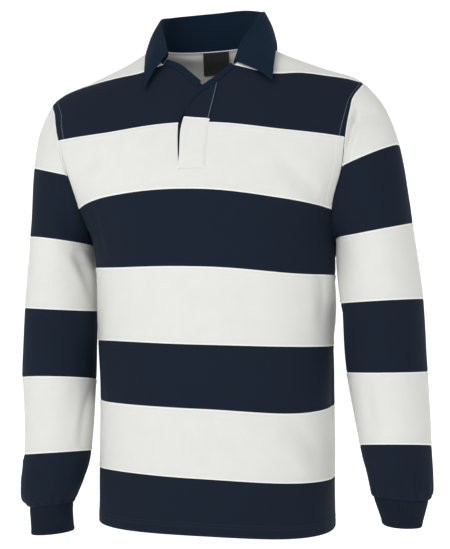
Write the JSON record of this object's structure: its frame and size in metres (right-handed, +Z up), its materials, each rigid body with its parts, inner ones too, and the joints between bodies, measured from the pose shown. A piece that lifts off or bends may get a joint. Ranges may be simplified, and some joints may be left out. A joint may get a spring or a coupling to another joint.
{
  "type": "rugby shirt",
  "caption": "Long-sleeved rugby shirt in broad navy and off-white stripes, filled out as worn, with a soft folded collar, a fly placket and ribbed cuffs.",
  "frame": {"origin": "base of the neck, in the middle between the shoulder points of the neckline, where the wearer's shoulders hold the shirt", "axes": "+Z up along the wearer's body, -Y the wearer's front, +X the wearer's left arm"},
  "size_m": [0.6462, 0.254, 0.8308],
  "materials": {
    "navy_jersey": "heavy knitted cotton jersey, soft and matt",
    "white_jersey": "heavy knitted cotton jersey, soft and matt",
    "navy_rib": "ribbed knit cotton",
    "navy_drill": "woven cotton drill, smooth and matt",
    "black_tape": "woven polyester tape, faint sheen"
  },
  "bodies": {
    "root": {"front_1_navy_right": "navy_jersey", "front_1_navy_left": "navy_jersey", "front_2_white": "white_jersey", "front_3_navy": "navy_jersey", "front_4_white": "white_jersey", "front_5_navy": "navy_jersey", "front_6_white": "white_jersey", "front_7_navy": "navy_jersey", "back_yoke_white": "white_jersey", "back_1_navy": "navy_jersey", "back_2_white": "white_jersey", "back_3_navy": "navy_jersey", "back_4_white": "white_jersey", "back_5_navy": "navy_jersey", "back_6_white": "white_jersey", "back_7_navy": "navy_jersey", "neck_band_right": "navy_drill", "neck_band_left": "navy_drill", "placket_navy": "navy_jersey", "placket_white": "white_jersey", "placket_under": "navy_jersey", "neck_label": "black_tape", "collar": "navy_drill", "sleeve_right_1_white": "white_jersey", "sleeve_right_2_navy": "navy_jersey", "sleeve_right_3_white": "white_jersey", "sleeve_right_4_navy": "navy_jersey", "sleeve_right_5_white": "white_jersey", "sleeve_right_6_navy": "navy_jersey", "cuff_right": "navy_rib", "sleeve_left_1_white": "white_jersey", "sleeve_left_2_navy": "navy_jersey", "sleeve_left_3_white": "white_jersey", "sleeve_left_4_navy": "navy_jersey", "sleeve_left_5_white": "white_jersey", "sleeve_left_6_navy": "navy_jersey", "cuff_left": "navy_rib"}
  },
  "joints": []
}
